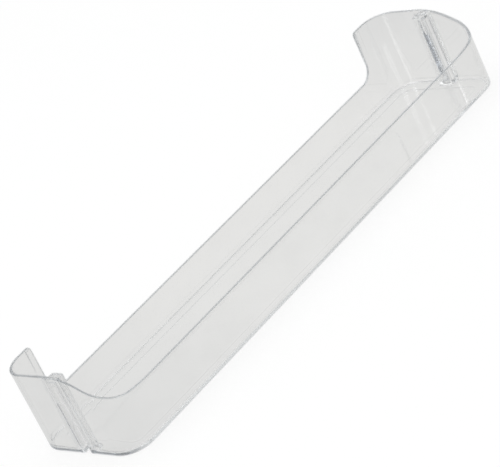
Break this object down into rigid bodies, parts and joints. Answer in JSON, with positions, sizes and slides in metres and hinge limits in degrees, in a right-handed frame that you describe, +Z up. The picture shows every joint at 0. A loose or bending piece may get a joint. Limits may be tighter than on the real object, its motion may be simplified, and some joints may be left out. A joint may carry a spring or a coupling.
{
  "type": "fridge door shelf",
  "caption": "Long clear plastic tray with a low back, tall ear-like end walls and a sunken channel in each end, for hanging on lugs inside a refrigerator door.",
  "frame": {"origin": "on the resting plane, under the middle of the shelf's length and depth", "axes": "+X along the shelf, -Y towards the room, +Y towards the door, +Z up"},
  "size_m": [0.47, 0.098, 0.065],
  "materials": {
    "clear_plastic": "clear and glossy"
  },
  "bodies": {
    "root": {"door_shelf": "clear_plastic"}
  },
  "joints": []
}
